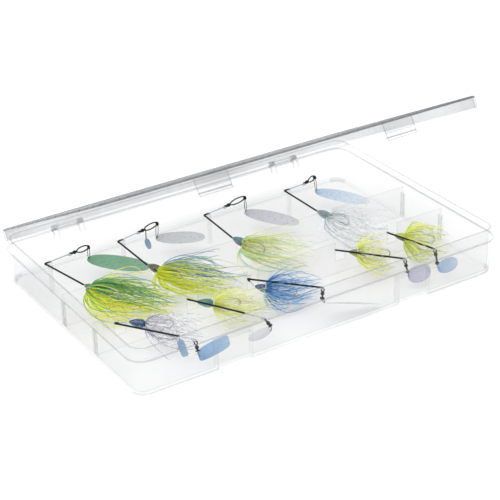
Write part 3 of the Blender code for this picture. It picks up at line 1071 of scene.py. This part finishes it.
@dataclass(frozen=True)
class LurePlace:
    """Where one lure's pieces lie, read from its CAD nodes."""

    RING_POINTS: ClassVar[int] = 6
    TIE_INSET: ClassVar[float] = 0.67 * MM
    FAN_SHARES: ClassVar[tuple[float, float]] = (0.3, 0.7)
    TAIL_SHARE: ClassVar[float] = 0.9
    DOME_SIDE: ClassVar[Vector] = Vector((-0.3, -1.0, 1.5))

    head: Vector
    axis: Vector
    half_head: float
    head_radius: float
    wire: Path
    fan: Vector
    tail: Vector
    plate: PlatePlace
    swivel: Path

    @staticmethod
    def axes(points: np.ndarray) -> tuple[Vector, list[Vector], list[float]]:
        """Find a node's own directions.

        Args:
            points: The node's points.

        Returns:
            Its middle, its three directions from the longest, and its half sizes along them.
        """
        middle = points.mean(0)
        turned = np.linalg.svd(points - middle)[2]
        sizes = np.ptp((points - middle) @ turned.T, axis=0) / 2.0
        return Vector(middle), [Vector(row) for row in turned], [float(s) for s in sizes]

    @classmethod
    def ends(cls, points: np.ndarray, start: Vector) -> Path:
        """Find the middles of a tube's two end rings.

        Args:
            points: The tube's points, ring by ring.
            start: A place near the tube's first end.

        Returns:
            The first and the last middle.
        """
        order = np.argsort(np.linalg.norm(points - np.array(start), axis=1))
        first, last = order[: cls.RING_POINTS], order[-cls.RING_POINTS :]
        return [Vector(points[first].mean(0)), Vector(points[last].mean(0))]

    @classmethod
    def wire_corners(cls, points: np.ndarray, head: Vector, swivel: Vector) -> Path:
        """Find the wire's nose end, its line tie, and the end of its arm.

        Args:
            points: The wire's points: a ring at each end and three rings around the line tie.
            head: The head's middle.
            swivel: The swivel's middle.

        Returns:
            The three places.
        """
        nose = cls.ends(points, head)[0]
        arm = cls.ends(points, swivel)[0]
        bent = len(points) - 2 * cls.RING_POINTS
        tie = Vector(points.sum(0) - cls.RING_POINTS * np.array(nose + arm)) / bent
        inward = (nose - tie).normalized() + (arm - tie).normalized()
        return [nose, tie - inward * cls.TIE_INSET, arm]

    @classmethod
    def read(cls, number: int) -> "LurePlace":
        """Read a lure's place.

        Args:
            number: The lure's number.

        Returns:
            Its place.
        """
        stem = f"lure_{number}_"
        head, head_axes, head_sizes = cls.axes(cad_points(stem + "head"))
        skirt = cad_points(stem + "skirt")
        reach = np.linalg.norm(skirt - np.array(head), axis=1)
        share = (reach - reach.min()) / np.ptp(reach)
        tail = Vector(skirt[share > cls.TAIL_SHARE].mean(0))
        fan = Vector(skirt[(share > cls.FAN_SHARES[0]) & (share < cls.FAN_SHARES[1])].mean(0))
        axis = toward(head_axes[0], fan - head)
        swivel = cad_points(stem + "swivel")
        wire = cls.wire_corners(cad_points(stem + "wire"), head, Vector(swivel.mean(0)))
        middle, plate_axes, sizes = cls.axes(cad_points(stem + "blade"))
        long = toward(plate_axes[0], middle - wire[-1])
        thick = toward(plate_axes[2], cls.DOME_SIDE)
        ends = cls.ends(swivel, wire[-1])
        plate = PlatePlace(middle, long, thick.cross(long), thick, sizes[0], sizes[1])
        return cls(head, axis, head_sizes[0], head_sizes[1], wire, fan, tail, plate, ends)


@dataclass
class Spinnerbait:
    """One lure: its wire, head, skirt, hook, swivel and blade."""

    number: int
    style: LureStyle
    first_seed: int = 40
    wire_radius: float = 0.8 * MM
    thin_share: float = 0.6
    tie_reach: float = 3.0 * MM
    tie_pull: float = 0.3
    tie_points: int = 12
    shank_steps: int = 8
    arm_steps: int = 20
    arm_eye: float = 1.3 * MM
    eye_steps: int = 16
    nose_rings: int = 12
    nose_share: float = 0.72
    neck: tuple[tuple[float, float], ...] = ((0.80, 0.86), (0.86, 0.62), (1.0, 0.55))
    hook_radius: float = 0.5 * MM
    hook_shank: float = 17.0 * MM
    hook_gape: float = 3.7 * MM
    hook_turn: float = 1.02 * math.pi
    hook_steps: int = 6
    bend_steps: int = 14
    point_steps: tuple[float, ...] = (2.5 * MM, 5.0 * MM, 7.5 * MM)
    barb_back: float = 1.2 * MM
    barb_drop: float = 1.0 * MM
    strand_root: float = 2.6 * MM
    strand_half: float = 0.45 * MM
    strand_rings: int = 17
    flares: tuple[float, float] = (0.25, 1.0)
    stretches: tuple[float, float] = (0.55, 1.1)
    widths: tuple[float, float] = (0.75, 1.15)
    splayed_reach: tuple[float, float] = (1.2, 1.7)
    trailing_reach: tuple[float, float] = (0.4, 1.3)
    curls: tuple[float, float] = (0.5, 1.0)
    twists: tuple[float, float] = (2.5, 6.0)
    collar_radius: float = 3.1 * MM
    collar_half: float = 0.8 * MM
    collar_steps: int = 24
    barrel_length: float = 4.6 * MM
    barrel_offset: float = 2.2 * MM
    barrel: tuple[tuple[float, float], ...] = (
        (0.0, 0.4), (0.06, 0.9), (0.22, 0.95), (0.3, 1.5), (0.5, 1.7),
        (0.7, 1.5), (0.78, 0.95), (0.94, 0.9), (1.0, 0.4),
    )
    snap_half: float = 2.6 * MM
    loop_radius: float = 0.58 * MM
    loop_steps: int = 24
    thread_radius: float = 0.4 * MM
    ring_radius: float = 0.28 * MM
    hole_inset: float = 1.2 * MM
    leaf_rows: int = 29
    leaf_columns: int = 9
    leaf_skin: float = 0.22 * MM
    leaf_dome: float = 0.9 * MM
    floor_gap: float = 1.0 * MM
    ceiling_gap: float = 3.0 * MM

    def __post_init__(self) -> None:
        """Read where the lure lies, and start its own random draws."""
        self.place = LurePlace.read(self.number)
        self.draw = random.Random(self.first_seed + self.number)
        self.stem = f"lure_{self.number}_"
        self.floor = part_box("rack_front")[0].z + self.floor_gap
        self.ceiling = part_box("tray")[1].z - self.ceiling_gap
        self.side = across(self.place.axis)
        self.lift = self.side.cross(self.place.axis).normalized()
        self.collar = self.place.head + self.place.axis * self.place.half_head * self.style.collar

    def settle(self, piece: bpy.types.Object, node: str) -> bpy.types.Object:
        """Let a piece ride in the tray and stand for its CAD node.

        Args:
            piece: The piece.
            node: The lure's CAD node that it stands for, without the lure's stem.

        Returns:
            The piece.
        """
        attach(piece, "tray")
        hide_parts(self.stem + node)
        return piece

    def build(self, hardware: "Hardware") -> None:
        """Make the whole lure.

        Args:
            hardware: The shared metal finishes.
        """
        pieces = [
            self.make_wire(hardware),
            self.make_head(),
            self.make_skirt(),
            self.make_hook(hardware),
            self.make_swivel(hardware),
            self.make_blade(hardware),
        ]
        for piece in pieces:
            log.info("%s: %d faces", piece.name, len(piece.data.polygons))

    def make_wire(self, hardware: "Hardware") -> bpy.types.Object:
        """Bend the wire: straight from the nose, round the line tie, and out along the blade arm.

        Args:
            hardware: The shared metal finishes.

        Returns:
            The wire.
        """
        nose, tie, arm = self.place.wire
        to_nose, to_arm = (nose - tie).normalized(), (arm - tie).normalized()
        near, far = tie + to_nose * self.tie_reach, tie + to_arm * self.tie_reach
        pull = self.tie_reach * self.tie_pull
        bend = bezier([near, tie - to_arm * pull, tie - to_nose * pull, far], self.tie_points)
        shank = [nose.lerp(near, i / self.shank_steps) for i in range(self.shank_steps)]
        arm_path = [far.lerp(arm, i / self.arm_steps) for i in range(self.arm_steps + 1)]
        # One wire in two copies of its finish: past the split, and on lures with a mostly dark arm also
        # along the shank, it is drawn thinner in a pale copy as painted reflection.
        split = int(self.arm_steps * self.style.black_share)
        black, bright = bend + arm_path[1 : split + 1], [arm_path[split:]]
        if self.style.black_share > 0.5:
            bright.append(shank + [near])
        else:
            black = shank + black
        builder = MeshBuilder()
        builder.tube(black, [self.wire_radius] * len(black), sides=10)
        thin = self.wire_radius * self.thin_share
        for path in bright:
            if len(path) > 1:
                builder.tube(path, [thin] * len(path), sides=10, material=1)
        eye_side = across(to_arm) * self.arm_eye
        eye = arc(arm + eye_side, -eye_side, UP, 2.0 * math.pi, self.eye_steps + 1)[:-1]
        builder.tube(eye, [thin] * len(eye), sides=8, closed=True, material=1)
        piece = builder.finish(self.stem + "bent_wire", [hardware.black, hardware.bright])
        return self.settle(piece, "wire")

    def make_head(self) -> bpy.types.Object:
        """Cast the bullet head, with a flat ring behind it where the skirt's collar sits.

        Returns:
            The head.
        """
        place = self.place
        length, radius = 2.0 * place.half_head, place.head_radius
        profile = [(0.0, 0.12 * radius)]
        for i in range(1, self.nose_rings + 1):
            t = i / self.nose_rings
            swell = math.sin(math.pi * (0.06 + 0.5 * t)) ** 0.9
            profile.append((length * self.nose_share * t, radius * swell))
        profile += [(length * reach, radius * share) for reach, share in self.neck]
        builder = MeshBuilder()
        builder.lathe(place.head - place.axis * place.half_head, place.axis, profile, sides=28)
        paint = HeadPaint(self.stem + "paint", back=self.style.back, belly=self.style.belly).build()
        piece = builder.finish(self.stem + "cast_head", [paint])
        heights = [(v.co - place.head).dot(self.lift) / (2.0 * radius) + 0.5 for v in piece.data.vertices]
        layer = piece.data.attributes.new("up", "FLOAT", "POINT")
        layer.data.foreach_set("value", heights)
        return self.settle(piece, "head")

    def splayed_curve(self, start: Vector, out: Vector, flare: float, run: Vector) -> Path:
        """Shape a strand that stands away from the bundle.

        Args:
            start: Where it leaves the collar.
            out: Its own way out of the bundle, as long as the skirt's spread.
            flare: How far it bulges, as a share of that.
            run: Its way to the tail.

        Returns:
            Its four control points.
        """
        bulge = self.collar + out * flare * 0.9
        hang = self.collar + run * 0.35 + out * flare * 1.7
        end = self.collar + run * 0.6 + out * self.draw.uniform(*self.splayed_reach) * flare
        return [start, bulge, hang, end - UP * self.style.sag * MM]

    def trailing_curve(self, start: Vector, out: Vector, flare: float, run: Vector) -> Path:
        """Shape a strand that swells out behind the collar and lies back towards the tail.

        Args:
            start: Where it leaves the collar.
            out: Its own way out of the bundle, as long as the skirt's spread.
            flare: How far it bulges, as a share of that.
            run: Its way to the tail.

        Returns:
            Its four control points.
        """
        sag = UP * self.style.sag * MM
        to_tail = (self.place.tail - self.collar).length
        bulge = self.collar + self.place.axis * to_tail * 0.10 + out * flare * 1.1
        hang = self.collar.lerp(self.place.fan, 0.9) + out * flare * 1.2 - sag * 0.5
        end = self.collar + run + out * self.draw.uniform(*self.trailing_reach) * flare
        return [start, bulge, hang, end - sag]

    def strand_path(self, angle: float, flare: float, stretch: float) -> Path:
        """Lay one strand, with its own curl, between the tray's floor and its rim.

        Args:
            angle: Where it leaves the collar, in radians around the axis.
            flare: How far it bulges, as a share of the skirt's spread.
            stretch: Its length, as a share of the skirt's.

        Returns:
            Its centreline.
        """
        style = self.style
        out = self.side * math.cos(angle) * style.spread * MM
        out += self.lift * math.sin(angle) * style.rise * MM
        run = (self.place.tail - self.collar) * stretch
        start = self.collar + out.normalized() * self.strand_root
        shape = self.splayed_curve if self.draw.random() < style.splayed else self.trailing_curve
        path = bezier(shape(start, out, flare, run), self.strand_rings)
        curl = self.draw.uniform(*self.curls) * style.curl * MM
        phase = self.draw.uniform(0.0, 2.0 * math.pi)
        twist = self.draw.uniform(*self.twists)
        for i, point in enumerate(path):
            t = i / (len(path) - 1)
            point += self.side * curl * t * t * math.sin(phase + twist * t)
            point += self.lift * curl * t * t * math.cos(phase + twist * t)
            point.z = min(max(point.z, self.floor), self.ceiling)
        return path

    def strand_widths(self, half: float) -> list[float]:
        """Taper a strand: widest past its middle, and nearly pointed at its end.

        Args:
            half: Half its greatest width.

        Returns:
            Half its width at each ring.
        """
        last = self.strand_rings - 1
        swell = [math.sin(math.pi * min(i / last + 0.25, 0.85)) for i in range(last)]
        return [half * (0.55 + 0.45 * share) for share in swell] + [half * 0.35]

    def make_skirt(self) -> bpy.types.Object:
        """Tie the strands under their collar.

        Returns:
            The skirt.
        """
        style = self.style
        builder = MeshBuilder()
        for index in range(style.count):
            angle = 2.0 * math.pi * (index + self.draw.random()) / style.count
            flare = self.draw.uniform(*self.flares)
            path = self.strand_path(angle, flare, self.draw.uniform(*self.stretches))
            toward = math.cos(angle - style.accent_side) if style.accent_side is not None else 0.0
            accent = self.draw.random() < style.accent_share + toward * 0.6
            widths = self.strand_widths(self.strand_half * self.draw.uniform(*self.widths))
            tone = self.draw.random()
            builder.tube(path, widths, flatness=0.5, sides=6, material=int(accent), shade=tone)
        start = self.side * self.collar_radius
        collar = arc(self.collar, start, self.place.axis, 2.0 * math.pi, self.collar_steps + 1)[:-1]
        builder.tube(collar, [self.collar_half] * len(collar), sides=10, closed=True, material=1)
        common = {"fleck": style.fleck, "fleck_amount": style.fleck_amount, "opacity": style.opacity}
        main = Silicone(self.stem + "silicone", colour=style.strands, end=style.strand_end, **common)
        accent = Silicone(self.stem + "silicone_accent", colour=style.accent, end=style.accent, **common)
        finishes = [main.build(), accent.build()]
        piece = builder.finish(self.stem + "strands", finishes, smooth_angle=75.0)
        return self.settle(piece, "skirt")

    def make_hook(self, hardware: "Hardware") -> bpy.types.Object:
        """Bend the single hook that is cast into the head, its point upwards.

        Args:
            hardware: The shared metal finishes.

        Returns:
            The hook.
        """
        place = self.place
        start = place.head + place.axis * (place.half_head - MM)
        low = place.head + place.axis * (place.half_head + self.hook_shank)
        shank = [start.lerp(low, i / self.hook_steps) for i in range(self.hook_steps)]
        radius = self.lift * self.hook_gape
        bend = arc(low + radius, -radius, self.side, self.hook_turn, self.bend_steps)
        point = [bend[-1] - place.axis * reach for reach in self.point_steps]
        path = shank + bend + point
        widths = [self.hook_radius] * (len(path) - 2) + [self.hook_radius * 0.6, self.hook_radius * 0.12]
        builder = MeshBuilder()
        builder.tube(path, widths, sides=10)
        barb = [point[0], point[0] + place.axis * self.barb_back - self.lift * self.barb_drop]
        builder.tube(barb, [0.4 * MM, 0.06 * MM], sides=6)
        piece = builder.finish(self.stem + "hook", [hardware.hook])
        return self.settle(piece, "hook")

    def make_swivel(self, hardware: "Hardware") -> bpy.types.Object:
        """Turn the barrel swivel, with a wire loop at each end.

        Args:
            hardware: The shared metal finishes.

        Returns:
            The swivel, with the second blade where the lure has one.
        """
        start, end = self.place.swivel
        way = (end - start).normalized()
        side = way.cross(UP).normalized()
        lift = side.cross(way)
        origin = start + way * self.barrel_offset
        builder = MeshBuilder()
        profile = [(self.barrel_length * reach, radius * MM) for reach, radius in self.barrel]
        builder.lathe(origin, way, profile, sides=20)
        self.add_loop(builder, origin - way * 1.3 * MM, way * 1.5 * MM, side * 1.2 * MM)
        snap = origin + way * self.barrel_length
        reach = (end - snap).length / 2.0
        wide = min(self.snap_half, reach * 0.5)
        self.add_loop(builder, snap.lerp(end, 0.5) + lift * 0.3 * MM, way * reach, lift * wide)
        self.add_loop(builder, end, side * 1.4 * MM, lift * 1.4 * MM)
        finishes = [hardware.nickel]
        if self.style.second:
            self.add_second_blade(builder, self.style.second)
            finishes.append(hardware.second_blade)
        piece = builder.finish(self.stem + "barrel_swivel", finishes)
        return self.settle(piece, "swivel")

    def add_loop(self, builder: MeshBuilder, centre: Vector, long: Vector, wide: Vector) -> None:
        """Add a closed loop of thin wire.

        Args:
            builder: Where to add it.
            centre: Its middle.
            long: Half its length, as a vector.
            wide: Half its width, as a vector.
        """
        loop = [centre + long * math.cos(a) + wide * math.sin(a) for a in turns(self.loop_steps)]
        builder.tube(loop, [self.loop_radius] * len(loop), sides=8, closed=True)

    def add_second_blade(self, builder: MeshBuilder, blade: SecondBlade) -> None:
        """Hang a small second blade on a thread of wire.

        Args:
            builder: Where to add it.
            blade: Its place and sizes.
        """
        start, end = self.place.swivel
        tie, arm = self.place.wire[1:]
        way = arm - tie if blade.before > 0.0 else end - start
        root = start - way.normalized() * blade.before * MM
        low = root - UP * blade.drop * MM
        thread = [root.lerp(low, i / 4) for i in range(5)]
        builder.tube(thread, [self.thread_radius] * len(thread), sides=6)
        lean = Vector((0.25, -0.1, -1.0)).normalized()
        face = lean.cross(Vector((0.4, 0.9, 0.0))).normalized()
        half_long, half_wide = blade.length * MM / 2.0, blade.width * MM / 2.0
        plate = PlatePlace(low + lean * half_long, lean, face, face.cross(lean), half_long, half_wide)
        self.add_leaf(builder, plate, material=1)

    def make_blade(self, hardware: "Hardware") -> bpy.types.Object:
        """Strike the domed blade and put the split ring through its hole.

        Args:
            hardware: The shared metal finishes.

        Returns:
            The blade.
        """
        plate, style = self.place.plate, self.style
        builder = MeshBuilder()
        self.add_leaf(builder, plate)
        hole = plate.middle - plate.long * (plate.half_long - self.hole_inset)
        half_link = (self.place.swivel[1] - hole) / 2.0
        sideways = half_link.cross(plate.wide).normalized() * MM
        middle = hole + half_link
        ring = [middle + half_link * math.cos(a) + sideways * math.sin(a) for a in turns(self.loop_steps)]
        builder.tube(ring, [self.ring_radius] * len(ring), sides=8, closed=True, material=1)
        plating = BladePlate(
            self.stem + "plating",
            colour=style.plate,
            tip=style.plate_tip,
            metal=style.metal,
            relief=style.relief,
        )
        piece = builder.finish(self.stem + "leaf_blade", [plating.build(), hardware.nickel])
        return self.settle(piece, "blade")

    def leaf_sheet(self, builder: MeshBuilder, plate: PlatePlace, level: float) -> list[int]:
        """Add the points of one side of a domed leaf.

        Args:
            builder: Where to add them.
            plate: Where the leaf lies.
            level: How far this side is from the sheet's middle.

        Returns:
            The first point of each row across the leaf.
        """
        dome = min(self.leaf_dome, plate.half_wide * 0.2)
        rows = []
        for i in range(self.leaf_rows):
            t = i / (self.leaf_rows - 1)
            reach = -math.cos(math.pi * t)
            width = max(math.sin(math.pi * t) ** self.style.leaf_power * plate.half_wide, 0.3 * MM)
            row = []
            for j in range(self.leaf_columns):
                s = 2.0 * j / (self.leaf_columns - 1) - 1.0
                crown = dome * (1.0 - reach * reach) * (1.0 - s * s) - dome * 0.5
                offset = plate.long * reach * plate.half_long + plate.wide * s * width
                row.append(plate.middle + offset + plate.thick * (crown + level))
            rows.append(builder.add_ring(row, t, 0.5))
        return rows

    def add_leaf(self, builder: MeshBuilder, plate: PlatePlace, material: int = 0) -> None:
        """Add a willow-leaf sheet with a shallow dome.

        Args:
            builder: Where to add it.
            plate: Where it lies.
            material: The material's number.
        """
        lower = self.leaf_sheet(builder, plate, -self.leaf_skin)
        upper = self.leaf_sheet(builder, plate, self.leaf_skin)
        last_row, last_column = self.leaf_rows - 1, self.leaf_columns - 1
        for i in range(last_row):
            for j in range(last_column):
                for rows in (lower, upper):
                    here, beyond = rows[i] + j, rows[i + 1] + j
                    builder.add_face((here, here + 1, beyond + 1, beyond), material)
            for j in (0, last_column):
                builder.add_face((lower[i] + j, lower[i + 1] + j, upper[i + 1] + j, upper[i] + j), material)
        for i in (0, last_row):
            for j in range(last_column):
                builder.add_face((lower[i] + j, lower[i] + j + 1, upper[i] + j + 1, upper[i] + j), material)


@dataclass
class Hardware:
    """The metal finishes that all lures share."""

    black: bpy.types.Material = field(init=False)
    bright: bpy.types.Material = field(init=False)
    hook: bpy.types.Material = field(init=False)
    nickel: bpy.types.Material = field(init=False)
    second_blade: bpy.types.Material = field(init=False)

    def __post_init__(self) -> None:
        """Make the finishes."""
        self.black = Wire("black_wire_finish").build()
        # A pale copy of the wire's finish, used as painted reflection along part of each lure's wire.
        self.bright = Wire(
            "wire_sheen_finish", (0.46, 0.48, 0.51), worn=(0.28, 0.29, 0.31), metal=0.5, roughness=0.3
        ).build()
        self.hook = Wire(
            "hook_finish", (0.40, 0.41, 0.43), worn=(0.25, 0.25, 0.26), metal=0.6, roughness=0.3
        ).build()
        self.nickel = Wire(
            "black_nickel_finish", (0.008, 0.008, 0.009), worn=(0.12, 0.12, 0.12), metal=0.7, roughness=0.3
        ).build()
        self.second_blade = BladePlate(
            "second_blade_plating", colour=(0.16, 0.28, 0.44), tip=(0.34, 0.48, 0.62), metal=0.3
        ).build()


# ---------------------------------------------------------------- studio


@dataclass
class Studio:
    """White sweep, soft light from all round, and the camera."""

    eye: Vector = field(default_factory=lambda: Vector((-0.6317, -1.0076, 0.6566)))
    yaw: float = 0.561
    pitch: float = 0.489
    roll: float = -0.025
    lens: float = 111.76
    sky: float = 1.04
    floor_half: float = 3.0
    light_power: float = 16.0
    light_size: float = 1.6
    light_place: Vector = field(default_factory=lambda: Vector((-0.9, -0.2, 1.8)))
    bounces: int = 48

    def build(self) -> None:
        """Make the studio."""
        scene = bpy.context.scene
        scene.view_settings.view_transform = "Standard"
        scene.cycles.transparent_max_bounces = self.bounces
        world = bpy.data.worlds.new("studio")
        scene.world = world
        world.use_nodes = True
        background = world.node_tree.nodes["Background"]
        background.inputs["Color"].default_value = (1.0, 1.0, 1.0, 1.0)
        background.inputs["Strength"].default_value = self.sky
        self.add_floor()
        self.add_light()
        scene.camera = self.add_camera()
        log.info("studio: camera with a %.0f mm lens", self.lens)

    def add_floor(self) -> None:
        """Lay the white floor."""
        bm = bmesh.new()
        bmesh.ops.create_grid(bm, x_segments=2, y_segments=2, size=self.floor_half)
        mesh = bpy.data.meshes.new("floor")
        bm.to_mesh(mesh)
        bm.free()
        place_object("floor", mesh, [StudioCard("floor_card").build()], 30.0)

    def add_light(self) -> None:
        """Hang the soft light."""
        data = bpy.data.lights.new("softbox", "AREA")
        data.shape = "DISK"
        data.size = self.light_size
        data.energy = self.light_power
        lamp = bpy.data.objects.new("softbox", data)
        bpy.context.scene.collection.objects.link(lamp)
        lamp.location = self.light_place
        lamp.rotation_mode = "QUATERNION"
        lamp.rotation_quaternion = lamp.location.to_track_quat("Z", "Y")

    def add_camera(self) -> bpy.types.Object:
        """Set up the camera.

        Returns:
            The camera.
        """
        data = bpy.data.cameras.new("camera")
        data.lens = self.lens
        camera = bpy.data.objects.new("camera", data)
        bpy.context.scene.collection.objects.link(camera)
        flat = math.cos(self.pitch)
        ahead = Vector((math.sin(self.yaw) * flat, math.cos(self.yaw) * flat, -math.sin(self.pitch)))
        level = Vector((math.cos(self.yaw), -math.sin(self.yaw), 0.0))
        rise = level.cross(ahead)
        right = level * math.cos(self.roll) + rise * math.sin(self.roll)
        top = rise * math.cos(self.roll) - level * math.sin(self.roll)
        turn = Matrix((right, top, -ahead)).transposed().to_4x4()
        camera.matrix_world = Matrix.Translation(self.eye) @ turn
        return camera


def write_sizes() -> None:
    """Bring the scene's placements up to date.
    """
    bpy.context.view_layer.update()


def main() -> None:
    """Build the studio, the box and the lures."""
    logging.basicConfig(level=logging.INFO, format="%(name)s: %(message)s")
    Studio().build()
    BoxShell().build()
    hardware = Hardware()
    for number, style in enumerate(STYLES, start=1):
        Spinnerbait(number, style).build(hardware)
    write_sizes()


if __name__ == "__main__":
    main()
